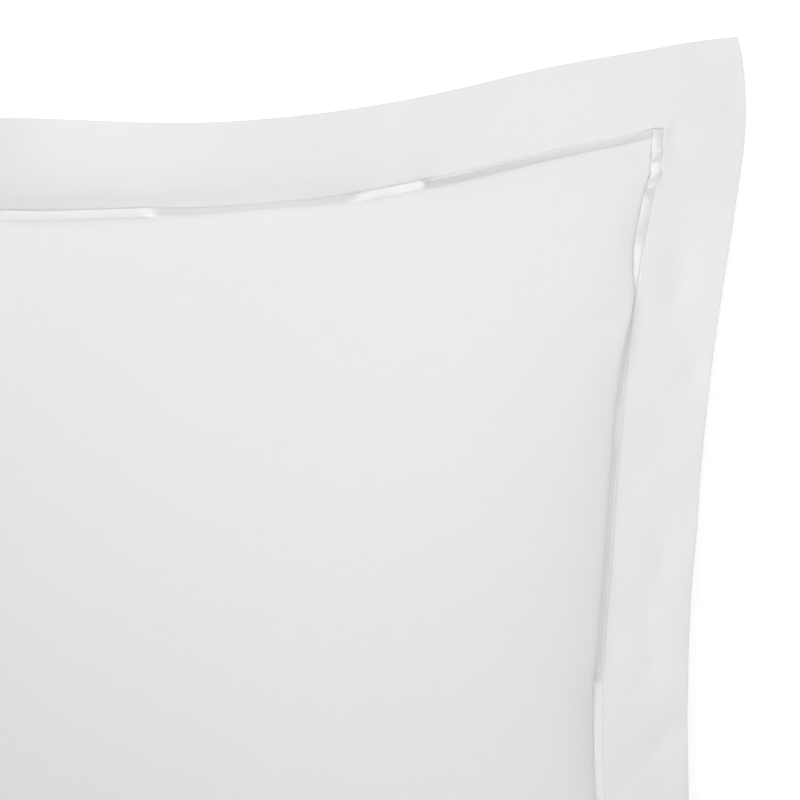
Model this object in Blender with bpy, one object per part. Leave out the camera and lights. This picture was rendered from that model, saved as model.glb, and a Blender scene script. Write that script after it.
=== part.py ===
"""A filled square pillowcase with a flat flange, lying on its back.

Blender 4.5, metres, +Z up, +Y to the top side of the case. The front and the back are two
equal squares of percale. They are joined along a square seam, and the same cloth runs on past
it as a double flange. A narrow satin band lies over the seam on each side. The filling lifts
the front into a crown and pulls the middle of every side inwards. The flange keeps its cut
width, so wherever it looks narrow from above it hangs down by the rest of that width.

Every place on the cloth is named by its flat cut coordinates (a, b) from the middle of the
case, in metres. The functions below lay such a place where the filled case has it.
"""
import math
from typing import NamedTuple

import bmesh
import bpy
from mathutils import Vector

MM = 0.001

# Cut sizes of the cloth, laid flat
CUT_HALF = 375.0 * MM
FLANGE_CLEAR = 50.0 * MM
BAND_WIDTH = 5.3 * MM
FLANGE_CUT = FLANGE_CLEAR + BAND_WIDTH
BODY_HALF = CUT_HALF - FLANGE_CUT
FLANGE_THICK = 1.9 * MM
EDGE_THICK = 1.2 * MM

# The satin bands
BAND_THICK = 1.0 * MM
BAND_GAP = 0.4 * MM
BAND_END_GAP = 0.1 * MM

# The filled body, lying on its back
CROWN_HEIGHT = 165.0 * MM
SEAM_HEIGHT = 72.0 * MM
CORNER_SEAM_HEIGHT = 56.0 * MM
CORNER_FALL_POWER = 5.0
UNDERSIDE_FULLNESS = 103.0 * MM
CONTACT_ROUND = 3.0 * MM
FULLNESS_POWER = 2.4
FULLNESS_ROUND = 0.7

# The seam's corner and the flange's tip, seen from above
SEAM_CORNER = Vector((316.0 * MM, 312.8 * MM, CORNER_SEAM_HEIGHT))
TIP = Vector((361.0 * MM, 365.4 * MM, 26.0 * MM))
EDGE_EASE = 0.995
FLANGE_BOW = 3.0 * MM
CURL_START = 0.86
CURL_POWER = 1.6


class Side(NamedTuple):
    """How one side of the case lies: distances of its middle from the middle of the case."""

    draw_in: float      # how far the middle of the seam is pulled in from its corners
    draw_power: float   # how flat that curve is near the middle
    edge: float         # the flange's edge at the middle of the side
    edge_power: float   # how the edge runs out to the tip
    edge_swell: float   # 0 for a plain curve, 1 for one that levels off at the tip
    curl: float         # how far the edge turns back in at the tip


TOP = Side(44.4 * MM, 2.1, 321.2 * MM, 1.6, 1.0, 0.0)
BOTTOM = Side(37.0 * MM, 1.9, 325.0 * MM, 1.6, 0.8, 0.0)
RIGHT = Side(31.2 * MM, 1.85, 333.9 * MM, 1.7, 0.0, 12.9 * MM)
LEFT = Side(32.5 * MM, 1.8, 332.5 * MM, 1.6, 0.4, 6.0 * MM)


class Wave(NamedTuple):
    """A soft swell or hollow across one flange."""

    side: Side
    along: float        # its place along the side
    spread: float       # its half width along the side
    lift: float         # how far it lifts the flange's edge


WAVES = (
    Wave(TOP, 235.0 * MM, 42.0 * MM, 5.0 * MM),
    Wave(TOP, 60.0 * MM, 70.0 * MM, 3.5 * MM),
    Wave(TOP, -165.0 * MM, 55.0 * MM, -4.0 * MM),
    Wave(RIGHT, 195.0 * MM, 38.0 * MM, -4.5 * MM),
    Wave(RIGHT, 60.0 * MM, 45.0 * MM, 4.5 * MM),
    Wave(RIGHT, -90.0 * MM, 60.0 * MM, -4.0 * MM),
    Wave(RIGHT, -230.0 * MM, 40.0 * MM, 5.0 * MM),
    Wave(BOTTOM, -190.0 * MM, 50.0 * MM, 5.0 * MM),
    Wave(BOTTOM, 20.0 * MM, 60.0 * MM, -4.5 * MM),
    Wave(BOTTOM, 215.0 * MM, 45.0 * MM, 4.5 * MM),
    Wave(LEFT, -180.0 * MM, 45.0 * MM, -4.5 * MM),
    Wave(LEFT, 0.0 * MM, 60.0 * MM, 4.5 * MM),
    Wave(LEFT, 200.0 * MM, 45.0 * MM, -4.0 * MM),
)

# Lines that the modelled cloth is divided along
BODY_DIVISIONS = 30
RIM_CROWDING = 0.4
FLANGE_STEPS = (BAND_WIDTH, 17.5 * MM, 30.0 * MM, 43.0 * MM, FLANGE_CUT)

# Finishes: sRGB value as a linear colour, and roughness
PERCALE_COLOUR = (0.80, 0.81, 0.82, 1.0)
PERCALE_ROUGHNESS = 0.85
SATIN_COLOUR = (0.84, 0.85, 0.87, 1.0)
SATIN_ROUGHNESS = 0.35


def mix(first, second, share):
    """Return the value that lies the given share of the way from first to second."""
    return first + (second - first) * share


def fullness(s, t):
    """Return how far the filling lifts the cloth, 1 in the middle and 0 on the seam."""
    across = 1.0 - min(abs(s), 1.0) ** FULLNESS_POWER
    along = 1.0 - min(abs(t), 1.0) ** FULLNESS_POWER
    return (across * along) ** FULLNESS_ROUND


def seam_height(s, t):
    """Return the height of the seam's level, which falls towards the corners."""
    fall = (abs(s) * abs(t)) ** CORNER_FALL_POWER
    return mix(SEAM_HEIGHT, CORNER_SEAM_HEIGHT, fall)


def body_point(a, b):
    """Return the point on the seam's level for a place on the body's cut square."""
    s = a / BODY_HALF
    t = b / BODY_HALF
    share = (s + 1.0) / 2.0
    draw_x = mix(LEFT.draw_in, RIGHT.draw_in, share)
    power_x = mix(LEFT.draw_power, RIGHT.draw_power, share)
    rise = (t + 1.0) / 2.0
    draw_y = mix(BOTTOM.draw_in, TOP.draw_in, rise)
    power_y = mix(BOTTOM.draw_power, TOP.draw_power, rise)
    x = s * (SEAM_CORNER.x - draw_x * (1.0 - abs(t) ** power_x))
    y = t * (SEAM_CORNER.y - draw_y * (1.0 - abs(s) ** power_y))
    return Vector((x, y, seam_height(s, t)))


def edge_reach(side, share, tip):
    """Return how far out a flange's edge lies, from 0 at its middle to 1 at the tip."""
    curve = share ** side.edge_power
    swell = math.sin(math.pi / 2.0 * curve) ** 2
    reach = side.edge + (tip + side.curl - side.edge) * mix(curve, swell, side.edge_swell)
    turned = max(0.0, (share - CURL_START) / (1.0 - CURL_START))
    return reach - side.curl * turned ** CURL_POWER


def edge_along(cut, tip):
    """Return where a place along the cut edge lies along the side, seen from above."""
    inner = min(cut, BODY_HALF)
    outer = cut - inner
    square_end = BODY_HALF * EDGE_EASE
    return inner * EDGE_EASE + outer / FLANGE_CUT * (tip - square_end)


def wave_lift(side, along):
    """Return how far the waves of one side lift its edge at a place along it."""
    lift = 0.0
    for wave in WAVES:
        if wave.side is side:
            lift += wave.lift * math.exp(-((along - wave.along) / wave.spread) ** 2)
    return lift


def hanging_edge(plan_x, plan_y, seam):
    """Return the edge's point, hung from the seam by what its cut width leaves over."""
    seen = math.hypot(plan_x - seam.x, plan_y - seam.y)
    drop = math.sqrt(max(0.0, FLANGE_CUT ** 2 - seen ** 2))
    return Vector((plan_x, plan_y, seam.z - drop))


def level_edge(a, sign):
    """Return the point on the top (sign 1) or bottom (sign -1) edge of the flange."""
    side = TOP if sign > 0 else BOTTOM
    x = edge_along(abs(a), TIP.x)
    y = sign * edge_reach(side, x / TIP.x, TIP.y)
    x = math.copysign(x, a)
    point = hanging_edge(x, y, body_point(max(-BODY_HALF, min(BODY_HALF, a)), sign * BODY_HALF))
    point.z += wave_lift(side, a)
    return point


def upright_edge(b, sign):
    """Return the point on the right (sign 1) or left (sign -1) edge of the flange."""
    side = RIGHT if sign > 0 else LEFT
    y = edge_along(abs(b), TIP.y)
    x = sign * edge_reach(side, y / TIP.y, TIP.x)
    y = math.copysign(y, b)
    point = hanging_edge(x, y, body_point(sign * BODY_HALF, max(-BODY_HALF, min(BODY_HALF, b))))
    point.z += wave_lift(side, b)
    return point


def corner_point(sign_a, sign_b, u, v):
    """Return a point of the corner square, spanned between its four edges."""
    seam = body_point(sign_a * BODY_HALF, sign_b * BODY_HALF)
    tip = Vector((sign_a * TIP.x, sign_b * TIP.y, TIP.z))
    over = level_edge(sign_a * BODY_HALF, sign_b)
    beside = upright_edge(sign_b * BODY_HALF, sign_a)
    far_level = level_edge(sign_a * (BODY_HALF + u * FLANGE_CUT), sign_b)
    far_upright = upright_edge(sign_b * (BODY_HALF + v * FLANGE_CUT), sign_a)
    far_level.z = mix(over.z, tip.z, u)
    far_upright.z = mix(beside.z, tip.z, v)
    ruled = mix(mix(seam, beside, u), far_level, v) + mix(mix(seam, over, v), far_upright, u)
    flat = mix(mix(seam, beside, u), mix(over, tip, u), v)
    return ruled - flat


def middle_point(a, b):
    """Return the point half way through the cloth, on the seam's level or on the flange."""
    u = max(0.0, abs(a) - BODY_HALF) / FLANGE_CUT
    v = max(0.0, abs(b) - BODY_HALF) / FLANGE_CUT
    sign_a = math.copysign(1.0, a)
    sign_b = math.copysign(1.0, b)
    if u > 0.0 and v > 0.0:
        point = corner_point(sign_a, sign_b, u, v)
    elif v > 0.0:
        point = mix(body_point(a, sign_b * BODY_HALF), level_edge(a, sign_b), v)
    elif u > 0.0:
        point = mix(body_point(sign_a * BODY_HALF, b), upright_edge(b, sign_a), u)
    else:
        return body_point(a, b)
    point.z += FLANGE_BOW * math.sin(math.pi * max(u, v))
    return point


def half_thickness(a, b):
    """Return half the flange's thickness, which eases off at its turned edge."""
    out = (max(abs(a), abs(b)) - BODY_HALF) / FLANGE_CUT
    if out <= 0.0:
        return FLANGE_THICK / 2.0
    return mix(FLANGE_THICK, EDGE_THICK, out ** 8) / 2.0


def front_point(a, b):
    """Return a point on the front of the cloth."""
    point = middle_point(a, b)
    lift = (CROWN_HEIGHT - SEAM_HEIGHT - FLANGE_THICK / 2.0) * fullness(a / BODY_HALF, b / BODY_HALF)
    point.z += lift + half_thickness(a, b)
    return point


def resting_height(height):
    """Return the height of the underside, rounded smoothly into the flat it rests on."""
    if height <= -CONTACT_ROUND:
        return 0.0
    if height < CONTACT_ROUND:
        return (height + CONTACT_ROUND) ** 2 / (4.0 * CONTACT_ROUND)
    return height


def back_point(a, b):
    """Return a point on the back of the cloth."""
    point = middle_point(a, b)
    point.z -= UNDERSIDE_FULLNESS * fullness(a / BODY_HALF, b / BODY_HALF) + half_thickness(a, b)
    point.z = resting_height(point.z)
    return point


def cut_lines():
    """Return the cut coordinates of the lines that divide the cloth, from edge to edge."""
    body = []
    for number in range(BODY_DIVISIONS + 1):
        even = 2.0 * number / BODY_DIVISIONS - 1.0
        crowded = math.sin(even * math.pi / 2.0)
        body.append(BODY_HALF * mix(even, crowded, RIM_CROWDING))
    outer = [BODY_HALF + step for step in FLANGE_STEPS]
    return [-line for line in reversed(outer)] + body + outer


def solid_sheet(columns, rows, upper, lower):
    """Return a closed bmesh of a sheet whose two faces are laid by two functions."""
    mesh = bmesh.new()
    bmesh.ops.create_grid(mesh, x_segments=len(columns) - 1, y_segments=len(rows) - 1, size=1.0)
    bmesh.ops.solidify(mesh, geom=mesh.faces[:], thickness=1.0)
    middle = sum(vert.co.z for vert in mesh.verts) / len(mesh.verts)
    for vert in mesh.verts:
        column = round((vert.co.x + 1.0) / 2.0 * (len(columns) - 1))
        row = round((vert.co.y + 1.0) / 2.0 * (len(rows) - 1))
        lay = upper if vert.co.z > middle else lower
        vert.co = lay(columns[column], rows[row])
    bmesh.ops.recalc_face_normals(mesh, faces=mesh.faces[:])
    return mesh


def case_solid():
    """Return the filled case with its flange, one closed body with a flat underside."""
    lines = cut_lines()
    mesh = solid_sheet(lines, lines, front_point, back_point)
    resting = [face for face in mesh.faces if all(vert.co.z == 0.0 for vert in face.verts)]
    bmesh.ops.dissolve_faces(mesh, faces=resting, use_verts=True)
    return mesh


def band_solid(columns, rows):
    """Return one satin band, laid a little above the front of the cloth."""

    def underside(a, b):
        return front_point(a, b) + Vector((0.0, 0.0, BAND_GAP))

    def upper_side(a, b):
        return front_point(a, b) + Vector((0.0, 0.0, BAND_GAP + BAND_THICK))

    return solid_sheet(columns, rows, upper_side, underside)


def finish(name, colour, roughness):
    """Return a Principled material."""
    material = bpy.data.materials.new(name)
    material.use_nodes = True
    shader = material.node_tree.nodes["Principled BSDF"]
    shader.inputs["Base Color"].default_value = colour
    shader.inputs["Roughness"].default_value = roughness
    shader.inputs["Metallic"].default_value = 0.0
    return material


def add_piece(name, mesh, material):
    """Put a closed bmesh into the scene as one named object."""
    data = bpy.data.meshes.new(name)
    mesh.to_mesh(data)
    mesh.free()
    data.materials.append(material)
    data.shade_smooth()
    piece = bpy.data.objects.new(name, data)
    bpy.context.scene.collection.objects.link(piece)
    return piece


def rest_on_origin(pieces):
    """Move every mesh so that the middle of the whole underside's box is the origin."""
    points = [vert.co for piece in pieces for vert in piece.data.vertices]
    low = Vector(min(point[axis] for point in points) for axis in range(3))
    high = Vector(max(point[axis] for point in points) for axis in range(3))
    shift = Vector(((low.x + high.x) / -2.0, (low.y + high.y) / -2.0, -low.z))
    for piece in pieces:
        for vert in piece.data.vertices:
            vert.co += shift


def build():
    """Model the whole case."""
    for old in list(bpy.data.objects):
        bpy.data.objects.remove(old)

    percale = finish("percale", PERCALE_COLOUR, PERCALE_ROUGHNESS)
    satin = finish("satin", SATIN_COLOUR, SATIN_ROUGHNESS)
    pieces = [add_piece("Case", case_solid(), percale)]

    body_lines = [line for line in cut_lines() if abs(line) <= BODY_HALF]
    butted = BODY_HALF - BAND_END_GAP
    short_run = [-butted] + body_lines[1:-1] + [butted]
    outside = BODY_HALF + BAND_WIDTH
    long_run = [-outside] + body_lines + [outside]
    across = [BODY_HALF + BAND_GAP, outside]
    mirrored = [-across[1], -across[0]]
    for name, columns, rows in (
        ("BandTop", short_run, across),
        ("BandBottom", short_run, mirrored),
        ("BandRight", across, long_run),
        ("BandLeft", mirrored, long_run),
    ):
        pieces.append(add_piece(name, band_solid(columns, rows), satin))
    rest_on_origin(pieces)


build()
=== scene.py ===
"""The looks of a filled square pillowcase with a flat flange, lying on its back.

Blender 4.5, metres, +Z up, +Y to the top side of the case. A place on the cloth is named by
where it lies in the flat cut: a to the right and b to the top, from the middle of the case.
The photo is 800 by 800 pixels, taken from straight above, and shows the case's top right
quarter. The other three corners, the underside and two of the sides are made like what shows.
"""

import math
from typing import NamedTuple

import bpy
import numpy as np
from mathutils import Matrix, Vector


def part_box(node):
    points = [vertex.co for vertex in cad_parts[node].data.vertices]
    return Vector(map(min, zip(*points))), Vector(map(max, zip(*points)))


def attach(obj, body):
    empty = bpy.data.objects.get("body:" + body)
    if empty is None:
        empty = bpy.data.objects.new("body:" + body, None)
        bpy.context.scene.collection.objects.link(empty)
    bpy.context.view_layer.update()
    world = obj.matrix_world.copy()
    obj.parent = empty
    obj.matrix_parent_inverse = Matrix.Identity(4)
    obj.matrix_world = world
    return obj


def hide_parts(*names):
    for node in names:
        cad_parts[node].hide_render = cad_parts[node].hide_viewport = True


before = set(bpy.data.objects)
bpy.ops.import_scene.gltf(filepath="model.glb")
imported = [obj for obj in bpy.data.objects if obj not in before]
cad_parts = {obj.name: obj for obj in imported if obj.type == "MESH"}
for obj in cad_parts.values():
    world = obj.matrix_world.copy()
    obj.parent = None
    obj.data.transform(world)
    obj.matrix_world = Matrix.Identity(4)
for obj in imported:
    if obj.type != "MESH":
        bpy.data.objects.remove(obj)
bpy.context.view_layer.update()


# ---------------------------------------------------------------------------------------
# The case. A front and a back square of white cotton percale, sewn together along a square
# seam, with the same cloth running on past it as a double flange, turned in at its edge.
# The filling lifts the front into a crown and draws in the middle of each side.
# ---------------------------------------------------------------------------------------
MM = 0.001
CUT_HALF = 375.0 * MM
FLANGE_CLEAR = 50.0 * MM
BAND_WIDTH = 5.3 * MM
BODY_HALF = CUT_HALF - FLANGE_CLEAR - BAND_WIDTH
BAND_LINE = BODY_HALF + BAND_WIDTH
FLANGE_THICK = 1.9 * MM
EDGE_THICK = 1.0 * MM
CHANNEL_DEPTH = 0.45 * MM       # how far the cloth dips in the channel under the bands
CHANNEL_WALL = 0.3 * MM
BACK_SEAM_DEPTH = 0.4 * MM
CORNER_EASE = 16.0 * MM         # how far the flange's corner lines are softened
EASE_STEPS = ((-1.0, 0.1), (-0.5, 0.2), (0.0, 0.4), (0.5, 0.2), (1.0, 0.1))     # step, share

CROWN_HEIGHT = 165.0 * MM
SEAM_HEIGHT = 72.0 * MM
CORNER_SEAM_HEIGHT = 56.0 * MM
CORNER_FALL_POWER = 5.0
UNDERSIDE_FULLNESS = 103.0 * MM     # past the seam's height, so that the underside rests flat
CONTACT_ROUND = 3.0 * MM
FULLNESS_POWER = 2.0
FULLNESS_POWER_RIGHT = 2.6
FULLNESS_ROUND = 0.6
STRAY_POWER = 3                 # how soon the seam's strays fade towards the middle

SEAM_CORNER = (316.0 * MM, 312.8 * MM)
TIP = (363.0 * MM, 367.9 * MM, 26.0 * MM)
EDGE_EASE = 0.995               # the edge's length as it lies, as a share of its cut length
EDGE_TURN_POWER = 12            # how late the flange thins out towards its turned edge
CURL_START = 0.86
CURL_POWER = 1.6


class Side(NamedTuple):
    """How one side of the case lies, measured from the middle of the case.

    The tuples are stops along the side: a place in mm and the value there.
    """

    draw_in: float      # how far the middle of the seam is pulled in from its corners
    draw_power: float   # how flat that curve is near the middle
    edge: float         # the flange's edge at the middle of the side
    edge_power: float   # how the edge runs out to the tip
    edge_swell: float   # 0 for a plain curve, 1 for one that levels off at the tip
    curl: float         # how far the edge turns back in at the tip
    seam_nudges: tuple  # how far the seam strays outwards, in mm
    edge_nudges: tuple  # how far the edge strays outwards, in mm
    leans: tuple        # how far the band leans down and out, in degrees
    bows: tuple         # how far the flange arches up between band and edge, in mm
    bulges: tuple       # how far the filled body bulges out over the band, in mm


TOP = Side(
    44.4 * MM, 2.1, 321.2 * MM, 1.6, 1.0, 0.0,
    seam_nudges=((-60, 0), (-12, -0.5), (45, 0.3), (76, 0.4), (118, 0.6), (142, -0.4),
                 (163, -1.2), (205, 0.3), (248, 1.85), (267, 1.9), (288, 1.35), (305, 0.0),
                 (320, 0)),
    edge_nudges=((-90, 0), (-28, 1.5), (80, -1.1), (131, -0.7), (184, -0.4), (248, -0.3),
                 (311, -2.6), (332, -1.7), (353, -0.5), (363, 0)),
    leans=((-340, 10), (-150, 12), (-20, 6), (44, 6), (58, 34), (80, 48), (108, 54), (128, 54),
           (150, 38), (172, 6), (186, 10), (194, 10), (202, -28), (250, -30), (306, -40),
           (320, -34)),
    bows=((-340, 0), (-120, 5), (70, 6), (150, 4), (240, 2), (320, 0)),
    bulges=((-200, 0), (-150, 1.5), (-100, 0), (60, 0)),
)
BOTTOM = Side(
    37.0 * MM, 1.9, 325.0 * MM, 1.6, 0.8, 0.0,
    seam_nudges=((-300, 0), (-180, 0.9), (-60, -0.8), (120, 0.9), (260, -0.7), (320, 0)),
    edge_nudges=((-340, 0), (-200, 1.0), (-40, -1.0), (150, 1.1), (340, 0)),
    leans=((-320, 2), (-120, 20), (90, 4), (230, 22), (320, 2)),
    bows=((-320, 0), (-120, 5), (60, 3), (220, 5), (320, 0)),
    bulges=((60, 0), (110, 2.2), (150, 0), (230, 0)),
)
RIGHT = Side(
    31.2 * MM, 1.85, 333.9 * MM, 1.7, 0.0, 12.9 * MM,
    seam_nudges=((-120, 0), (-60, 0.6), (-20, -0.9), (22, -1.2), (46, 0.3), (88, 1.75),
                 (131, 1.4), (173, 0.6), (194, 0.3), (205, 0), (226, -1.4), (247, -1.2),
                 (279, -0.15), (292, 0.8), (300, 2.3), (308, 1.0), (320, 0)),
    edge_nudges=((-70, 0), (-30, 0.7), (25, 0.5), (60, 0.2), (105, 0.8), (140, 0.1),
                 (190, -0.1), (228, -0.1), (262, 0.65), (300, 0.85), (328, -0.4), (342, -0.3),
                 (352, 0.7), (367, 0)),
    leans=((-320, 2), (-200, 20), (-60, 0), (20, -1), (42, 50), (142, 50), (160, 28),
           (170, 28), (188, 50), (204, 50), (222, 24), (232, 4), (243, -7), (256, -7),
           (263, 0), (270, 4), (276, 0), (280, -3), (285, -3), (288, 8), (291, 8), (295, -7),
           (312, -10), (320, -8)),
    bows=((-320, 0), (-100, 4), (-20, -1), (40, -1.5), (120, -2), (230, -3), (320, -1)),
    bulges=((-210, 0), (-160, 3.0), (-120, 0), (10, 0), (40, 1.4), (172, 1.4), (190, 2.0),
            (202, 2.8), (213, 4.8), (223, 6.8), (233, 7.0), (241, 5.2), (250, 2.8), (264, 0)),
)
LEFT = Side(
    32.5 * MM, 1.8, 332.5 * MM, 1.6, 0.4, 6.0 * MM,
    seam_nudges=((-320, 0), (-200, 0.9), (-60, -0.7), (80, 0.8), (210, -0.8), (320, 0)),
    edge_nudges=((-340, 0), (-160, -0.8), (0, 0.9), (180, -0.8), (340, 0)),
    leans=((-320, 2), (-200, 22), (0, 8), (190, 26), (320, 2)),
    bows=((-320, 0), (-60, 4), (60, 3), (200, 4), (320, 0)),
    bulges=((-60, 0), (-20, 2.4), (30, 0)),
)


class Wave(NamedTuple):
    """A soft swell or hollow across one flange."""

    side: Side
    along: float        # its place along the side
    spread: float       # its half width along the side
    lift: float         # how far it lifts the flange's edge


WAVES = (
    Wave(TOP, 235.0 * MM, 42.0 * MM, 5.0 * MM),
    Wave(TOP, 135.0 * MM, 55.0 * MM, 5.0 * MM),
    Wave(TOP, -165.0 * MM, 55.0 * MM, -4.0 * MM),
    Wave(RIGHT, 172.0 * MM, 26.0 * MM, -2.0 * MM),
    Wave(RIGHT, 90.0 * MM, 190.0 * MM, 6.0 * MM),
    Wave(RIGHT, -90.0 * MM, 60.0 * MM, -4.0 * MM),
    Wave(RIGHT, -230.0 * MM, 40.0 * MM, 5.0 * MM),
    Wave(BOTTOM, -190.0 * MM, 50.0 * MM, 5.0 * MM),
    Wave(BOTTOM, 20.0 * MM, 60.0 * MM, -4.5 * MM),
    Wave(BOTTOM, 215.0 * MM, 45.0 * MM, 4.5 * MM),
    Wave(LEFT, -180.0 * MM, 45.0 * MM, -4.5 * MM),
    Wave(LEFT, 0.0 * MM, 60.0 * MM, 4.5 * MM),
    Wave(LEFT, 200.0 * MM, 45.0 * MM, -4.0 * MM),
)


class Fold(NamedTuple):
    """A soft ridge, or a trough where its height is below 0, in mm from the case's middle."""

    x: float
    y: float
    heading: float      # the way it runs, in degrees from +X towards +Y
    length: float       # half its length
    width: float        # half its width
    height: float


# Folds of the body: by the right band, by the top right corner, then out of the photo
BODY_FOLDS = (
    Fold(284, 212, 30, 22, 7, -1.1),
    Fold(287, 238, 80, 50, 14, 2.5),
    Fold(270, 190, 62, 40, 12, -1.2),
    Fold(279, 5, -72, 19, 4, -0.9),
    Fold(272, -14, -60, 14, 4, 0.6),
    Fold(303, 308, 28, 10, 4.0, 1.6),
    Fold(305, 298, 20, 9, 4.0, -1.6),
    Fold(300, 285, 34, 11, 4.0, 1.6),
    Fold(-262, 215, 128, 30, 9, -1.4),
    Fold(-284, -120, 96, 26, 7, -1.1),
    Fold(-255, -268, 44, 24, 8, -1.3),
    Fold(120, -262, 84, 20, 7, -1.0),
    Fold(262, -232, -40, 28, 9, -1.3),
    Fold(-60, 262, 92, 18, 7, -0.8),
)
# Folds of the flange: down the right side, along the top side, round the top right corner,
# then out of the photo
FLANGE_FOLDS = (
    Fold(330, 237, 84, 22, 8, -2.0),
    Fold(338, 190, 82, 14, 8, -2.8),
    Fold(338, 126, 80, 9, 7, -2.2),
    Fold(323, 101, 86, 11, 8, -1.7),
    Fold(321, 84, 86, 10, 6, -1.8),
    Fold(338, 69, 80, 9, 6, -2.0),
    Fold(313, 62, 86, 10, 6, -1.7),
    Fold(338, 46, 74, 9, 6, -2.2),
    Fold(314, 29, 70, 10, 6, -2.0),
    Fold(319, -10, 42, 28, 6, -3.2),
    Fold(320, -30, 80, 14, 8, -1.6),
    Fold(182, 298, 8, 22, 6, -0.6),
    Fold(56, 283.5, 1, 70, 4.5, 0.75),
    Fold(130, 285.5, 4, 40, 4.5, 0.6),
    Fold(30, 294, 1, 90, 9, 1.1),
    Fold(330, 338, 48, 14, 9, -1.1),
    Fold(361, 338, 86, 18, 6, -1.7),
    Fold(307, 323, 14, 12, 4, 2.8),
    Fold(328, 311, 92, 11, 5, -2.0),
    Fold(325, 287, 10, 8, 3, -0.8),
    Fold(-180, 306, 84, 26, 12, -1.2),
    Fold(-80, 300, 92, 24, 10, 0.9),
    Fold(-320, 120, 6, 24, 11, -1.3),
    Fold(-322, -60, 174, 24, 10, 1.0),
    Fold(-316, -215, 12, 24, 11, -1.2),
    Fold(-110, -312, 88, 24, 11, -1.2),
    Fold(150, -308, 96, 24, 11, -1.3),
    Fold(322, -150, 8, 24, 11, -1.2),
    Fold(330, -250, 172, 22, 10, 0.9),
)
FLANGE_FOLD_START = 3.5 * MM    # how far out from the band they reach their full height

# The lines that divide the cloth into cells, which crowd by the seam
BODY_CELLS = 76
RIM_CROWDING = 0.45
SEAM_INSETS = tuple(inset * MM for inset in (2.4, 1.2, 0.3))
FLANGE_STEPS = tuple(step * MM for step in (2.65, 5.3, 5.6, 8.0, 12.0, 18.0, 25.0, 32.0, 39.0,
                                            46.0, 51.0, 54.3, 55.3))


def mix(first, second, share):
    """Return the value that lies the given share of the way from first to second."""
    return first + (second - first) * share


def read_stops(stops, along):
    """Return the values of a table of (place in mm, value) stops, eased from stop to stop."""
    places, values = (np.array(column, float) for column in zip(*stops))
    along = np.clip(along / MM, places[0], places[-1])
    stop = np.clip(np.searchsorted(places, along, side="right") - 1, 0, len(places) - 2)
    share = (along - places[stop]) / (places[stop + 1] - places[stop])
    return mix(values[stop], values[stop + 1], share * share * (3.0 - 2.0 * share))


def from_sides(first, second, column, outward, along):
    """Return a column of stops, read from the first side where outward is positive."""
    near, far = (read_stops(getattr(side, column), along) for side in (first, second))
    return np.where(outward > 0.0, near, far)


def fullness(a, b):
    """Return how far the filling lifts the cloth, 1 in the middle and 0 on the seam."""
    power = np.where(a > 0.0, FULLNESS_POWER_RIGHT, FULLNESS_POWER)
    across = 1.0 - np.minimum(np.abs(a) / BODY_HALF, 1.0) ** power
    along = 1.0 - np.minimum(np.abs(b) / BODY_HALF, 1.0) ** FULLNESS_POWER
    return (across * along) ** FULLNESS_ROUND


def band_frame(a, b):
    """Return x, y, z of the body's seam level, and of the seat of the band outside it.

    s and t run from -1 to 1, from the left seam to the right one and from bottom to top.
    """
    s = np.clip(a / BODY_HALF, -1.0, 1.0)
    t = np.clip(b / BODY_HALF, -1.0, 1.0)
    draw_x = mix(LEFT.draw_in, RIGHT.draw_in, (s + 1.0) / 2.0)
    power_x = mix(LEFT.draw_power, RIGHT.draw_power, (s + 1.0) / 2.0)
    draw_y = mix(BOTTOM.draw_in, TOP.draw_in, (t + 1.0) / 2.0)
    power_y = mix(BOTTOM.draw_power, TOP.draw_power, (t + 1.0) / 2.0)
    stray_x = from_sides(RIGHT, LEFT, "seam_nudges", a, b) * MM * np.abs(s) ** STRAY_POWER
    stray_y = from_sides(TOP, BOTTOM, "seam_nudges", b, a) * MM * np.abs(t) ** STRAY_POWER
    x = s * (SEAM_CORNER[0] + stray_x - draw_x * (1.0 - np.abs(t) ** power_x))
    y = t * (SEAM_CORNER[1] + stray_y - draw_y * (1.0 - np.abs(s) ** power_y))
    reach = BAND_LINE / BODY_HALF
    to_side = np.clip(np.abs(a / BODY_HALF), 0.0, reach)
    to_top = np.clip(np.abs(b / BODY_HALF), 0.0, reach)
    z = mix(SEAM_HEIGHT, CORNER_SEAM_HEIGHT, (to_side * to_top) ** CORNER_FALL_POWER)
    out_a = np.clip(np.abs(a) - BODY_HALF, 0.0, BAND_WIDTH)
    out_b = np.clip(np.abs(b) - BODY_HALF, 0.0, BAND_WIDTH)
    lean_a = np.radians(from_sides(RIGHT, LEFT, "leans", a, b))
    lean_b = np.radians(from_sides(TOP, BOTTOM, "leans", b, a))
    x = x + np.sign(a) * out_a * np.cos(lean_a)
    y = y + np.sign(b) * out_b * np.cos(lean_b)
    z = z - out_a * np.sin(lean_a) - out_b * np.sin(lean_b)
    return np.stack((x, y, z), axis=-1)


def edge_along(cut, tip):
    """Return where a place along the cut edge lies along the side, seen from above."""
    inner = np.minimum(np.abs(cut), BAND_LINE)
    outer = np.abs(cut) - inner
    square_end = BAND_LINE * EDGE_EASE
    return inner * EDGE_EASE + outer / FLANGE_CLEAR * (tip - square_end)


def edge_plan(side, cut, tip_along, tip_out):
    """Return how far along and how far out a flange's edge lies at places of its cut edge."""
    along = edge_along(cut, tip_along)
    share = along / tip_along
    curve = share ** side.edge_power
    swell = np.sin(math.pi / 2.0 * curve) ** 2
    reach = side.edge + (tip_out + side.curl - side.edge) * mix(curve, swell, side.edge_swell)
    turned = np.maximum(0.0, (share - CURL_START) / (1.0 - CURL_START))
    stray = read_stops(side.edge_nudges, np.copysign(along, cut)) * MM
    return np.copysign(along, cut), reach - side.curl * turned ** CURL_POWER + stray


def wave_lift(side, along):
    """Return how far the waves of one side lift its edge at places along it."""
    lift = 0.0 * along
    for wave in WAVES:
        if wave.side is side:
            lift = lift + wave.lift * np.exp(-((along - wave.along) / wave.spread) ** 2)
    return lift


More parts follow.
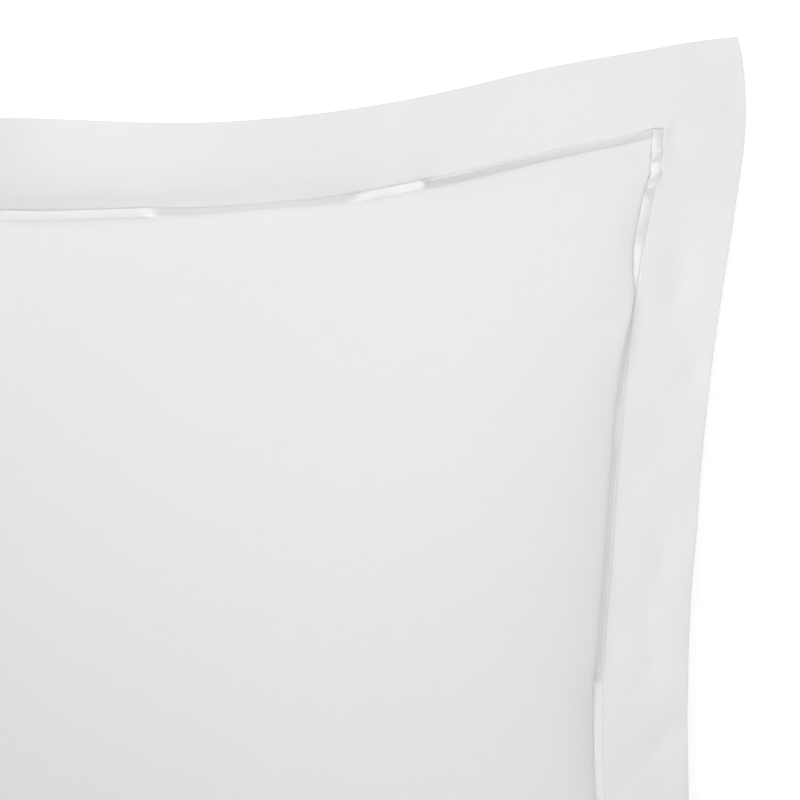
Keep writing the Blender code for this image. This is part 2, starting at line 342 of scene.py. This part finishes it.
def edge_points(cut, sign, upright):
    """Return points on the flange's edge, hung from the seam by what the cut leaves over."""
    sides = (RIGHT, LEFT) if upright else (TOP, BOTTOM)
    tips = (TIP[1], TIP[0]) if upright else (TIP[0], TIP[1])
    square = np.clip(cut, -BODY_HALF, BODY_HALF)
    if upright:
        seam = band_frame(sign * BODY_HALF, square)[..., (1, 0, 2)]
    else:
        seam = band_frame(square, sign * BODY_HALF)
    found = []
    for side in sides:
        along, reach = edge_plan(side, cut, *tips)
        square_along, square_reach = edge_plan(side, square, *tips)
        seen = np.hypot(square_along - seam[..., 0], square_reach - np.abs(seam[..., 1]))
        drop = np.sqrt(np.maximum(0.0, (CUT_HALF - BODY_HALF) ** 2 - seen ** 2))
        height = seam[..., 2] - drop + wave_lift(side, cut)
        found.append(np.stack((along, reach, height), axis=-1))
    point = np.where((sign > 0.0)[..., None], found[0], found[1])
    past = np.clip((np.abs(cut) - BODY_HALF) / (CUT_HALF - BODY_HALF), 0.0, 1.0)
    point[..., 2] = mix(point[..., 2], TIP[2], past * past * (3.0 - 2.0 * past))
    point[..., 1] *= sign
    return point[..., (1, 0, 2)] if upright else point


def lay_sides(a, b):
    """Return places half way through the cloth, ruled from seam to edge and patched at corners.

    u and v run from 0 by the band to 1 at the edge, across the upright and the level flanges.
    """
    u = (np.clip(np.abs(a) - BAND_LINE, 0.0, None) / FLANGE_CLEAR)[..., None]
    v = (np.clip(np.abs(b) - BAND_LINE, 0.0, None) / FLANGE_CLEAR)[..., None]
    sign_a, sign_b = np.where(a < 0.0, -1.0, 1.0), np.where(b < 0.0, -1.0, 1.0)
    square_a = np.clip(a, -BAND_LINE, BAND_LINE)
    square_b = np.clip(b, -BAND_LINE, BAND_LINE)
    seat = band_frame(a, b)
    far_level = edge_points(a, sign_b, False)
    far_upright = edge_points(b, sign_a, True)
    over = edge_points(square_a, sign_b, False)
    beside = edge_points(square_b, sign_a, True)
    tip = np.stack((sign_a * TIP[0], sign_b * TIP[1], 0.0 * a + TIP[2]), axis=-1)
    ruled = mix(mix(seat, beside, u), far_level, v) + mix(mix(seat, over, v), far_upright, u)
    flat = mix(mix(seat, beside, u), mix(over, tip, u), v)
    point = ruled - flat
    bow_a = from_sides(RIGHT, LEFT, "bows", a, b) * MM
    bow_b = from_sides(TOP, BOTTOM, "bows", b, a) * MM
    arch_u, arch_v = np.sin(math.pi * u[..., 0]), np.sin(math.pi * v[..., 0])
    point[..., 2] += bow_a * arch_u * (1.0 - v[..., 0]) + bow_b * arch_v * (1.0 - u[..., 0])
    return point


def lay_middle(a, b):
    """Return the places half way through the cloth, the flange eased over its corner lines."""
    room_a = np.minimum(CORNER_EASE, CUT_HALF - np.abs(a))
    room_b = np.minimum(CORNER_EASE, CUT_HALF - np.abs(b))
    reach_a = room_a * np.clip((np.abs(b) - BAND_LINE) / CORNER_EASE, 0.0, 1.0)
    reach_b = room_b * np.clip((np.abs(a) - BAND_LINE) / CORNER_EASE, 0.0, 1.0)
    total = 0.0
    for step_a, share_a in EASE_STEPS:
        for step_b, share_b in EASE_STEPS:
            point = lay_sides(a + step_a * reach_a, b + step_b * reach_b)
            total = total + share_a * share_b * point
    return total


def half_thickness(a, b):
    """Return half the flange's thickness, which eases off at its turned edge."""
    out = (np.maximum(np.abs(a), np.abs(b)) - BODY_HALF) / (CUT_HALF - BODY_HALF)
    return mix(FLANGE_THICK, EDGE_THICK, np.clip(out, 0.0, 1.0) ** EDGE_TURN_POWER) / 2.0


def channel(a, b):
    """Return how far the seam holds the front down, 1 under the bands and 0 beside them."""
    out = np.maximum(np.abs(a), np.abs(b)) - BODY_HALF
    inner = np.clip(out / CHANNEL_WALL + 1.0, 0.0, 1.0)
    return inner * np.clip((BAND_WIDTH - out) / CHANNEL_WALL + 1.0, 0.0, 1.0)


def seam_lines(a, b):
    """Return 1 on the two rows of stitches, which show on the back too, and 0 beside them."""
    out = np.maximum(np.abs(a), np.abs(b)) - BODY_HALF
    away = np.minimum(np.abs(out), np.abs(out - BAND_WIDTH))
    return np.clip(1.0 - away / CHANNEL_WALL, 0.0, 1.0)


def fold_height(folds, point):
    """Return how far a table of folds raises the cloth at places seen from above."""
    height = 0.0 * point[..., 0]
    for fold in folds:
        turn = math.radians(fold.heading)
        x, y = point[..., 0] / MM - fold.x, point[..., 1] / MM - fold.y
        along = (x * math.cos(turn) + y * math.sin(turn)) / fold.length
        across = (y * math.cos(turn) - x * math.sin(turn)) / fold.width
        height = height + fold.height * MM * np.exp(-along ** 2 - across ** 2)
    return height


def on_flange(a, b):
    """Return 0 on the body and the bands, rising to 1 a little way out on the flange."""
    out = (np.maximum(np.abs(a), np.abs(b)) - BAND_LINE) / FLANGE_FOLD_START
    return np.clip(out, 0.0, 1.0)


def resting_height(height):
    """Return the height of the underside, rounded into the flat that it rests on."""
    rounded = (height + CONTACT_ROUND) ** 2 / (4.0 * CONTACT_ROUND)
    above = np.where(height < CONTACT_ROUND, rounded, height)
    return np.where(height <= -CONTACT_ROUND, 0.0, above)


def lay_case(a, b, front):
    """Return places on the cloth; front is 1 on the front, 0 on the back, between at the rim."""
    point = lay_middle(a, b)
    full = fullness(a, b)
    lift = (CROWN_HEIGHT - SEAM_HEIGHT - FLANGE_THICK / 2.0) * full * front
    fall = UNDERSIDE_FULLNESS * full * (1.0 - front)
    point[..., 2] += lift - fall + half_thickness(a, b) * (2.0 * front - 1.0)
    point[..., 2] += fold_height(FLANGE_FOLDS, point) * on_flange(a, b)
    point[..., 2] -= CHANNEL_DEPTH * channel(a, b) * front
    point[..., 2] += BACK_SEAM_DEPTH * seam_lines(a, b) * (1.0 - front)
    point[..., 2] = np.where(front < 0.5, resting_height(point[..., 2]), point[..., 2])
    return point


def cut_lines():
    """Return the cut coordinates of the lines that divide the cloth, from edge to edge."""
    even = np.linspace(-1.0, 1.0, BODY_CELLS + 1)
    body = BODY_HALF * mix(even, np.sin(even * math.pi / 2.0), RIM_CROWDING)
    seam = BODY_HALF - np.array(SEAM_INSETS)
    outer = BODY_HALF + np.array(FLANGE_STEPS)
    return np.concatenate((-outer[::-1], body[:1], -seam[::-1], body[1:-1], seam, body[-1:], outer))


def select_only(piece):
    """Make one object the only selected and active one."""
    bpy.ops.object.select_all(action="DESELECT")
    piece.select_set(True)
    bpy.context.view_layer.objects.active = piece


def read_points(mesh):
    """Return a mesh's vertices as an array."""
    flat = np.empty(len(mesh.vertices) * 3, np.float32)
    mesh.vertices.foreach_get("co", flat)
    return flat.reshape(-1, 3).astype(float)


def write_points(mesh, points):
    """Give a mesh's vertices the places in an array."""
    mesh.vertices.foreach_set("co", points.astype(np.float32).ravel())
    mesh.update()


def store_values(mesh, name, values):
    """Store one number for each vertex, which later subdivision carries along."""
    mesh.attributes.new(name, "FLOAT", "POINT").data.foreach_set("value", values.astype(np.float32))


def stored_values(mesh, name):
    """Return the numbers stored on the vertices."""
    values = np.empty(len(mesh.vertices), np.float32)
    mesh.attributes[name].data.foreach_get("value", values)
    return values.astype(float)


# The flat cut sheet, doubled into a front and a back that meet at the rim
GRID_SIZE = 2.0                 # a new grid's coordinates then run from -1 to 1
SHEET_GAP = 0.1

lines = cut_lines()
bpy.ops.object.select_all(action="DESELECT")
bpy.ops.mesh.primitive_grid_add(x_subdivisions=len(lines) - 1, y_subdivisions=len(lines) - 1,
                                size=GRID_SIZE)
case = bpy.context.object
case.name = "CaseCloth"
cut_b, cut_a = (grid.ravel() for grid in np.meshgrid(lines, lines, indexing="ij"))
double = case.modifiers.new("double", "SOLIDIFY")
double.thickness = SHEET_GAP
bpy.ops.object.modifier_apply(modifier="double")
cut_a, cut_b = np.tile(cut_a, 2), np.tile(cut_b, 2)
is_front = (read_points(case.data)[:, 2] > -SHEET_GAP / 2.0).astype(float)
store_values(case.data, "cut_a", cut_a)
store_values(case.data, "cut_b", cut_b)
store_values(case.data, "front", is_front)
laid = lay_case(cut_a, cut_b, is_front)

# The filling presses the cloth out between its seams, which stay where they lie
SETTLING_FRAMES = 30
CLOTH_SETTINGS = {
    "quality": 6,
    "use_pressure": True,
    "uniform_pressure_force": 6.0,
    "tension_stiffness": 15.0,
    "compression_stiffness": 0.8,
    "shear_stiffness": 6.0,
    "bending_stiffness": 6.0,
    "tension_damping": 15.0,
    "compression_damping": 15.0,
    "shear_damping": 15.0,
    "bending_damping": 5.0,
    "air_damping": 4.0,
}
HELD_INSET = 1.5 * MM           # the cloth is held from this far inside the seam outwards
RELAX_ROUNDS = 30
RELAX_SHARE = 0.5


def relax(moves):
    """Return how far the filling moved the cloth, evened out over its grid of cells."""
    moves = moves.reshape(2, len(lines), len(lines), 3).copy()
    for _ in range(RELAX_ROUNDS):
        beside = moves[:, 2:, 1:-1] + moves[:, :-2, 1:-1] + moves[:, 1:-1, 2:] + moves[:, 1:-1, :-2]
        moves[:, 1:-1, 1:-1] = mix(moves[:, 1:-1, 1:-1], beside / 4.0, RELAX_SHARE)
        moves[is_held.reshape(2, len(lines), len(lines))] = 0.0
    return moves.reshape(-1, 3)


is_held = np.maximum(np.abs(cut_a), np.abs(cut_b)) > BODY_HALF - HELD_INSET
write_points(case.data, laid)
case.shape_key_add(name="laid")
flat_cut = case.shape_key_add(name="flat_cut")
spread_out = np.stack((cut_a, cut_b, 0.0 * cut_a), axis=-1).astype(np.float32)
flat_cut.data.foreach_set("co", spread_out.ravel())
flat_cut.value = 0.0
sewn = case.vertex_groups.new(name="sewn")
sewn.add(np.flatnonzero(is_held).tolist(), 1.0, "REPLACE")
filling = case.modifiers.new("filling", "CLOTH")
filling.settings.rest_shape_key = flat_cut
filling.settings.vertex_group_mass = "sewn"
for name, value in CLOTH_SETTINGS.items():
    setattr(filling.settings, name, value)
filling.settings.effector_weights.gravity = 0.0
filling.collision_settings.use_collision = False
filling.point_cache.frame_start = 1
filling.point_cache.frame_end = SETTLING_FRAMES + 1
for number in range(1, SETTLING_FRAMES + 1):
    bpy.context.scene.frame_set(number)
settled = case.evaluated_get(bpy.context.evaluated_depsgraph_get())
pressed = read_points(settled.data)
case.modifiers.remove(filling)
case.shape_key_clear()
laid = laid + relax(pressed - laid)
write_points(case.data, laid)

# Each cell becomes four, rounded on the body. The seam and the flange are laid again, at their
# own places in the cut, because the rounding would draw them in.
SEAM_REACH = 0.05 * MM

select_only(case)
finer = case.modifiers.new("finer", "SUBSURF")
finer.levels = finer.render_levels = 1
finer.uv_smooth = "NONE"
bpy.ops.object.modifier_apply(modifier="finer")
cut_a, cut_b = stored_values(case.data, "cut_a"), stored_values(case.data, "cut_b")
is_front = stored_values(case.data, "front")
points = read_points(case.data)
outside = np.maximum(np.abs(cut_a), np.abs(cut_b)) > BODY_HALF - SEAM_REACH
points[outside] = lay_case(cut_a[outside], cut_b[outside], is_front[outside])

# Small folds of the front, and the places where it bulges out over the bands
BULGE_INSET = 3.0 * MM          # how far inside the seam a bulge is at its fullest

for axis, along, cut, first, second in ((0, cut_b, cut_a, RIGHT, LEFT),
                                        (1, cut_a, cut_b, TOP, BOTTOM)):
    inset = np.maximum(0.0, BODY_HALF - np.abs(cut)) / BULGE_INSET
    swell = from_sides(first, second, "bulges", cut, along) * MM * inset * np.exp(1.0 - inset)
    points[:, axis] += np.sign(cut) * swell * is_front * (~outside)
points[:, 2] += fold_height(BODY_FOLDS, points) * is_front * (~outside)

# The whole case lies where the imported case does
box_low, box_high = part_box("Case")
shift = np.array([(box_low[k] + box_high[k]) / 2.0 - (points[:, k].min() + points[:, k].max()) / 2.0
                  for k in range(2)] + [0.0])
points += shift
points[:, 2] = np.maximum(points[:, 2], 0.0)
write_points(case.data, points)
case.data.shade_smooth()


def map_cut(mesh, along, across):
    """Give a mesh a UV map that holds its flat cut coordinates, in metres."""
    corners = np.empty(len(mesh.loops), np.int32)
    mesh.loops.foreach_get("vertex_index", corners)
    flat = np.stack((along[corners], across[corners]), axis=-1).astype(np.float32)
    layer = mesh.uv_layers.active or mesh.uv_layers.new(name="cut")
    layer.name = "cut"
    layer.data.foreach_set("uv", flat.ravel())


map_cut(case.data, cut_a, cut_b)


def linear(hex_colour):
    """Return an sRGB hex colour as a linear one."""
    channels = [int(hex_colour[k:k + 2], 16) / 255.0 for k in (1, 3, 5)]
    return [c / 12.92 if c <= 0.04045 else ((c + 0.055) / 1.055) ** 2.4 for c in channels] + [1.0]


def add_node(tree, kind, settings=None, inputs=None):
    """Add a node with its settings, and with input values or links from other sockets."""
    node = tree.nodes.new(kind)
    for name, value in (settings or {}).items():
        setattr(node, name, value)
    for name, value in (inputs or {}).items():
        if isinstance(value, bpy.types.NodeSocket):
            tree.links.new(value, node.inputs[name])
        else:
            node.inputs[name].default_value = value
    return node


# Percale is a matt plain weave, so the eye sees an even, dull white with a faint grain. Its
# threads, 0.3 mm apart, are too fine to show, so they are drawn 0.8 mm apart, thicker here and
# there. The seams pull the cloth beside them into tiny puckers.
THREAD_PITCH = 0.8 * MM
SLUB_LENGTH = 16.0 * MM         # how far a thread keeps its thickness
THREAD_RELIEF = 0.009           # reliefs are in mm
PULL_SPACING = 3.4 * MM
PULL_REACH = 7.0 * MM           # how far out from the seams the cloth puckers
PULL_RELIEF = 0.16
WARP_SHARE = 0.65               # how much of the grain runs along a

percale = bpy.data.materials.new("cotton percale, bleached, plain woven")
percale.use_nodes = True
tree = percale.node_tree
shader = tree.nodes["Principled BSDF"]
place = add_node(tree, "ShaderNodeUVMap", {"uv_map": "cut"}).outputs["UV"]
noises = {}
for name, spacings, detail in (("warp", (SLUB_LENGTH, THREAD_PITCH), 2.0),
                               ("weft", (THREAD_PITCH, SLUB_LENGTH), 2.0),
                               ("pulls", (PULL_SPACING, PULL_SPACING), 1.0)):
    spread = add_node(tree, "ShaderNodeMapping", inputs={
        "Vector": place, "Scale": (1.0 / spacings[0], 1.0 / spacings[1], 1.0)})
    noises[name] = add_node(tree, "ShaderNodeTexNoise", {"noise_dimensions": "2D"}, {
        "Vector": spread.outputs["Vector"], "Scale": 1.0, "Detail": detail}).outputs["Fac"]
# A Mix node's inputs go by number: 0 is the share, 2 and 3 are numbers, 6 and 7 are colours
threads = add_node(tree, "ShaderNodeMix", inputs={
    0: WARP_SHARE, 2: noises["weft"], 3: noises["warp"]}).outputs[0]

ways = add_node(tree, "ShaderNodeSeparateXYZ", inputs={"Vector": place})
out_a, out_b = (add_node(tree, "ShaderNodeMath", {"operation": "ABSOLUTE"}, {
    0: ways.outputs[name]}).outputs[0] for name in ("X", "Y"))
furthest = add_node(tree, "ShaderNodeMath", {"operation": "MAXIMUM"}, {0: out_a, 1: out_b})
past_band = add_node(tree, "ShaderNodeMath", {"operation": "SUBTRACT"}, {
    0: furthest.outputs[0], 1: BODY_HALF + BAND_WIDTH / 2.0})
from_band = add_node(tree, "ShaderNodeMath", {"operation": "ABSOLUTE"}, {
    0: past_band.outputs[0]})
near_seam = add_node(tree, "ShaderNodeMapRange", {"interpolation_type": "SMOOTHSTEP"}, {
    "Value": from_band.outputs[0], "From Min": BAND_WIDTH / 2.0,
    "From Max": BAND_WIDTH / 2.0 + PULL_REACH, "To Min": PULL_RELIEF, "To Max": 0.0})
puckers = add_node(tree, "ShaderNodeMath", {"operation": "MULTIPLY"}, {
    0: noises["pulls"], 1: near_seam.outputs["Result"]})
relief = add_node(tree, "ShaderNodeMath", {"operation": "MULTIPLY_ADD"}, {
    0: threads, 1: THREAD_RELIEF, 2: puckers.outputs[0]}).outputs[0]
woven = add_node(tree, "ShaderNodeBump", inputs={"Height": relief, "Distance": MM})
tint = add_node(tree, "ShaderNodeMix", {"data_type": "RGBA"}, {
    0: threads, 6: linear("#eeeeef"), 7: linear("#f3f3f4")})
tree.links.new(tint.outputs[2], shader.inputs["Base Color"])
tree.links.new(woven.outputs["Normal"], shader.inputs["Normal"])
shader.inputs["Roughness"].default_value = 0.85
case.data.materials.append(percale)

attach(case, "root")
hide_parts("Case")


# ---------------------------------------------------------------------------------------
# The satin bands. Four strips of white cotton satin, let in along the seam between body and
# flange. Their long glossy threads run across them, so they look bright or grey by their lean.
# The right and left ones run over the ends of the top and bottom ones.
# ---------------------------------------------------------------------------------------
class Band(NamedTuple):
    """One satin band: which side it follows, half its length along the cut, and its edge."""

    name: str
    node: str
    upright: bool       # whether it runs along b, on the right or the left
    sign: float         # 1 for the top and the right, -1 for the bottom and the left
    half_length: float
    edge_lean: float    # the lean of its held outer edge, in degrees


BAND_END_GAP = 0.1 * MM
BANDS = (
    Band("SatinTop", "BandTop", False, 1.0, BODY_HALF - BAND_END_GAP, 16.0),
    Band("SatinBottom", "BandBottom", False, -1.0, BODY_HALF - BAND_END_GAP, 16.0),
    Band("SatinRight", "BandRight", True, 1.0, BAND_LINE - BAND_END_GAP, -8.0),
    Band("SatinLeft", "BandLeft", True, -1.0, BAND_LINE - BAND_END_GAP, -8.0),
)
BAND_STEPS = 620
BAND_CELLS = 16
BAND_SIDE_GAP = 0.05 * MM
BAND_CROWN = 0.07 * MM          # how far its middle stands up
BAND_ROLL = 0.08 * MM           # how far its edges roll down into the seam
BAND_ROLL_POWER = 8
HELD_START = 0.78               # where its outer edge begins to turn to the flange
HELD_RAISE = 0.34 * MM          # how far the band stands up, for each unit that it leans less
BAND_LIFT = -0.15 * MM          # from the level of the cloth beside it
BAND_CLOTH_THICK = 0.4 * MM
BAND_RIPPLE = 0.05 * MM
RIPPLE_POWER = 6
SEAM_WAVES = ((7.3, 0.4), (11.9, 2.1), (4.7, 5.2))      # length in mm, where it starts
FACING_STEP = 0.5 * MM

# Creases across the bands: on the right one and the top one, then out of the photo
PUCKERS = (
    Fold(318, 303.0, 24, 6, 1.7, 1.5),
    Fold(317, 299.0, 20, 5, 1.6, -0.5),
    Fold(316, 291.5, 24, 6, 1.6, 1.3),
    Fold(314, 287.0, 20, 5, 2.2, -0.9),
    Fold(262, 318.0, 100, 4, 1.4, 0.5),
    Fold(295, 322.0, 80, 4, 1.3, 0.5),
    Fold(-318, 296.0, -24, 6, 1.7, 1.2),
    Fold(-316, -302.0, 22, 6, 1.7, 1.3),
    Fold(316, -298.0, -22, 6, 1.7, 1.2),
)


def band_cut(band, along, across):
    """Return the cut coordinates of places on a band."""
    out = band.sign * (BODY_HALF + across)
    return (out, along) if band.upright else (along, out)


def seat_frame(band, along, across):
    """Return places on the cloth under a band, and the way the band faces there."""
    a, b = band_cut(band, along, np.full_like(along, BAND_WIDTH / 2.0))
    along_a = lay_sides(a + FACING_STEP, b) - lay_sides(a - FACING_STEP, b)
    along_b = lay_sides(a, b + FACING_STEP) - lay_sides(a, b - FACING_STEP)
    facing = np.cross(along_a, along_b)
    facing /= np.linalg.norm(facing, axis=-1, keepdims=True)
    seat = lay_sides(*band_cut(band, along, across))
    seat[..., 2] += FLANGE_THICK / 2.0
    return seat, facing


def band_lean(band, along, across):
    """Return how far a band leans down and out, in radians."""
    a, b = band_cut(band, along, across)
    upright_lean = from_sides(RIGHT, LEFT, "leans", a, b)
    level_lean = from_sides(TOP, BOTTOM, "leans", b, a)
    return np.radians(upright_lean if band.upright else level_lean)


def seam_ripple(along):
    """Return the fine uneven waviness of a sewn seam, between -1 and 1."""
    waves = (np.sin(2.0 * math.pi * along / (length * MM) + start)
             for length, start in SEAM_WAVES)
    return sum(waves) / len(SEAM_WAVES)


# Satin has long glossy threads on its face. They run across the band, so the eye sees bright
# and grey stretches along it. They are too fine to show, so they are drawn 0.7 mm apart.
SATIN_THREAD = 0.7 * MM
SATIN_STRETCH = 0.12            # how much slower the pattern changes along a thread
SATIN_RELIEF = 0.17 * MM

satin = bpy.data.materials.new("cotton satin, mercerised, woven")
satin.use_nodes = True
tree = satin.node_tree
shader = tree.nodes["Principled BSDF"]
shader.inputs["Base Color"].default_value = linear("#ececee")
shader.inputs["Metallic"].default_value = 0.2
shader.inputs["Roughness"].default_value = 0.5
shader.inputs["Anisotropic"].default_value = 0.7
place = add_node(tree, "ShaderNodeUVMap", {"uv_map": "cut"})
spread = add_node(tree, "ShaderNodeMapping", inputs={
    "Vector": place.outputs["UV"],
    "Scale": (1.0 / SATIN_THREAD, SATIN_STRETCH / SATIN_THREAD, 1.0)})
threads = add_node(tree, "ShaderNodeTexNoise", {"noise_dimensions": "2D"}, {
    "Vector": spread.outputs["Vector"], "Scale": 1.0, "Detail": 2.0, "Roughness": 0.6})
relief = add_node(tree, "ShaderNodeBump", inputs={
    "Height": threads.outputs["Fac"], "Distance": SATIN_RELIEF, "Strength": 0.8})
tree.links.new(relief.outputs["Normal"], shader.inputs["Normal"])
run = add_node(tree, "ShaderNodeTangent", {"direction_type": "UV_MAP", "uv_map": "cut"})
tree.links.new(run.outputs["Tangent"], shader.inputs["Tangent"])

for band in BANDS:
    bpy.ops.object.select_all(action="DESELECT")
    bpy.ops.mesh.primitive_grid_add(x_subdivisions=BAND_STEPS, y_subdivisions=BAND_CELLS,
                                    size=GRID_SIZE)
    strip = bpy.context.object
    strip.name = band.name
    flat = read_points(strip.data)
    along = flat[:, 0] * band.half_length
    share = np.sin(flat[:, 1] * math.pi / 2.0)
    across = BAND_WIDTH / 2.0 + share * (BAND_WIDTH / 2.0 - BAND_SIDE_GAP)
    seat, facing = seat_frame(band, along, across)
    lift = BAND_LIFT + BAND_CROWN * (1.0 - share ** 2)
    lift -= BAND_ROLL * np.abs(share) ** BAND_ROLL_POWER
    turned_back = np.tan(band_lean(band, along, across) - math.radians(band.edge_lean))
    lift += turned_back * np.maximum(0.0, share - HELD_START) * BAND_WIDTH / 2.0
    lift += HELD_RAISE * np.maximum(0.0, -turned_back)
    lift += BAND_RIPPLE * seam_ripple(along) * (1.0 - np.abs(share) ** RIPPLE_POWER)
    lift += fold_height(PUCKERS, seat)
    write_points(strip.data, seat + facing * lift[:, None] + shift)
    map_cut(strip.data, along, across)
    doubled = strip.modifiers.new("doubled", "SOLIDIFY")
    doubled.thickness = BAND_CLOTH_THICK
    doubled.offset = -1.0
    select_only(strip)
    bpy.ops.object.modifier_apply(modifier="doubled")
    bpy.ops.object.mode_set(mode="EDIT")
    bpy.ops.mesh.select_all(action="SELECT")
    bpy.ops.mesh.normals_make_consistent(inside=False)
    bpy.ops.object.mode_set(mode="OBJECT")
    strip.data.shade_smooth()
    strip.data.materials.append(satin)
    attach(strip, "root")
    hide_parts(band.node)


# ---------------------------------------------------------------------------------------
# The seam threads. White sewing cotton, machine stitched along both edges of each band, deep
# in the seam, so that only the tops of the stitches show between the needle holes.
# ---------------------------------------------------------------------------------------
STITCH = 1.9 * MM
STITCH_RINGS = 6
THREAD_SIDES = 6
THREAD_RADIUS = 0.19 * MM
STITCH_TOP = -0.12 * MM         # from the level of the cloth beside it
STITCH_DIVE = 0.55 * MM         # how far the thread goes down into a needle hole
STITCH_ROUND = 0.5              # below 1, the stitch stays up longer between its needle holes
STITCH_BESIDE = 0.02 * MM
RING_CLOSING = 0.004 * MM

# Sewing cotton is spun from short fibres and glazed, so a stitch is white with a soft shine
sewing_cotton = bpy.data.materials.new("sewing cotton, spun and glazed")
sewing_cotton.use_nodes = True
shader = sewing_cotton.node_tree.nodes["Principled BSDF"]
shader.inputs["Base Color"].default_value = linear("#eaeaea")
shader.inputs["Roughness"].default_value = 0.5

for band in BANDS:
    stitches = int((BODY_HALF - STITCH) * 2.0 / STITCH)
    rings = stitches * STITCH_RINGS
    rows = []
    for across in (-STITCH_BESIDE, BAND_WIDTH + STITCH_BESIDE):
        bpy.ops.object.select_all(action="DESELECT")
        bpy.ops.mesh.primitive_grid_add(x_subdivisions=rings, y_subdivisions=THREAD_SIDES,
                                        size=GRID_SIZE)
        row = bpy.context.object
        flat = read_points(row.data)
        along = flat[:, 0] * stitches * STITCH / 2.0
        turn = flat[:, 1] * math.pi
        seat, facing = seat_frame(band, along, np.full_like(along, across))
        beside = np.cross(facing, (0.0, 1.0, 0.0) if band.upright else (1.0, 0.0, 0.0))
        beside /= np.linalg.norm(beside, axis=-1, keepdims=True)
        hump = np.abs(np.sin(math.pi * (along / STITCH + stitches / 2.0))) ** STITCH_ROUND
        lift = STITCH_TOP - STITCH_DIVE * (1.0 - hump) + THREAD_RADIUS * np.cos(turn)
        lift += fold_height(PUCKERS, seat)
        side_step = THREAD_RADIUS * np.sin(turn)
        write_points(row.data, seat + facing * lift[:, None] + beside * side_step[:, None] + shift)
        map_cut(row.data, along, turn * THREAD_RADIUS)
        rows.append(row)
    select_only(rows[0])
    rows[1].select_set(True)
    bpy.ops.object.join()
    thread = rows[0]
    thread.name = band.name.replace("Satin", "SeamThread")
    bpy.ops.object.mode_set(mode="EDIT")
    bpy.ops.mesh.select_all(action="SELECT")
    bpy.ops.mesh.remove_doubles(threshold=RING_CLOSING)
    bpy.ops.mesh.select_all(action="DESELECT")
    bpy.ops.mesh.select_mode(type="EDGE")
    bpy.ops.mesh.select_non_manifold()
    bpy.ops.mesh.fill()
    bpy.ops.mesh.select_all(action="SELECT")
    bpy.ops.mesh.normals_make_consistent(inside=False)
    bpy.ops.object.mode_set(mode="OBJECT")
    thread.data.shade_smooth()
    thread.data.materials.append(sewing_cotton)
    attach(thread, "root")


# ---------------------------------------------------------------------------------------
# The floor, light and camera. The floor is white paper with a glow of its own, five softboxes
# stand round the case, and the camera looks straight down on its top right quarter.
# ---------------------------------------------------------------------------------------
FLOOR_SIZE = 12.0
FLOOR_DROP = 0.4 * MM

bpy.ops.object.select_all(action="DESELECT")
bpy.ops.mesh.primitive_plane_add(size=FLOOR_SIZE, location=(0.0, 0.0, -FLOOR_DROP))
floor = bpy.context.object
floor.name = "Floor"

# Paper is matt, and its own glow keeps it white in the shade of the case
paper = bpy.data.materials.new("matt white paper")
paper.use_nodes = True
shader = paper.node_tree.nodes["Principled BSDF"]
shader.inputs["Base Color"].default_value = linear("#fbfbfb")
shader.inputs["Roughness"].default_value = 0.9
shader.inputs["Emission Color"].default_value = linear("#ffffff")
shader.inputs["Emission Strength"].default_value = 0.3
floor.data.materials.append(paper)

world = bpy.data.worlds.new("studio")
bpy.context.scene.world = world
world.use_nodes = True
sky = world.node_tree.nodes["Background"]
sky.inputs["Color"].default_value = linear("#ffffff")
sky.inputs["Strength"].default_value = 0.1


class Softbox(NamedTuple):
    """A large square lamp that looks at the case."""

    name: str
    azimuth: float      # degrees from +Y towards +X
    elevation: float
    distance: float
    size: float         # the length of its sides
    watts: float


SOFTBOXES = (
    Softbox("TopSoftbox", 0.0, 50.0, 1.3, 0.8, 7.9),
    Softbox("OverheadSoftbox", 337.0, 70.0, 1.3, 0.8, 3.0),
    Softbox("RightSoftbox", 90.0, 30.0, 1.3, 0.8, 3.6),
    Softbox("FarFillSoftbox", 0.0, 12.0, 3.0, 1.8, 5.3),
    Softbox("NearFillSoftbox", 180.0, 30.0, 3.0, 1.8, 35.7),
)
SOFTBOX_AIM = Vector((0.1, 0.1, 0.05))
for row in SOFTBOXES:
    lamp = bpy.data.lights.new(row.name, "AREA")
    lamp.shape = "SQUARE"
    lamp.size = row.size
    lamp.energy = row.watts
    softbox = bpy.data.objects.new(row.name, lamp)
    bpy.context.scene.collection.objects.link(softbox)
    azimuth, elevation = math.radians(row.azimuth), math.radians(row.elevation)
    level = math.cos(elevation)
    outward = Vector((math.sin(azimuth) * level, math.cos(azimuth) * level, math.sin(elevation)))
    softbox.location = SOFTBOX_AIM + outward * row.distance
    softbox.rotation_euler = outward.to_track_quat("Z", "Y").to_euler()

PIXEL = 0.53 * MM
PHOTO_SIZE = 800
CASE_MIDDLE_PX = (57, 727)
CAMERA_HEIGHT = 3.0
SCALE_LEVEL = 0.06              # the height at which a pixel is that size
SENSOR_WIDTH = 36.0

camera = bpy.data.cameras.new("camera")
viewer = bpy.data.objects.new("camera", camera)
bpy.context.scene.collection.objects.link(viewer)
viewer.location = (
    (PHOTO_SIZE / 2 - CASE_MIDDLE_PX[0]) * PIXEL + shift[0],
    (CASE_MIDDLE_PX[1] - PHOTO_SIZE / 2) * PIXEL + shift[1],
    CAMERA_HEIGHT,
)
camera.sensor_width = SENSOR_WIDTH
camera.lens = SENSOR_WIDTH * (CAMERA_HEIGHT - SCALE_LEVEL) / (PHOTO_SIZE * PIXEL)
bpy.context.scene.camera = viewer
bpy.context.scene.view_settings.view_transform = "Standard"
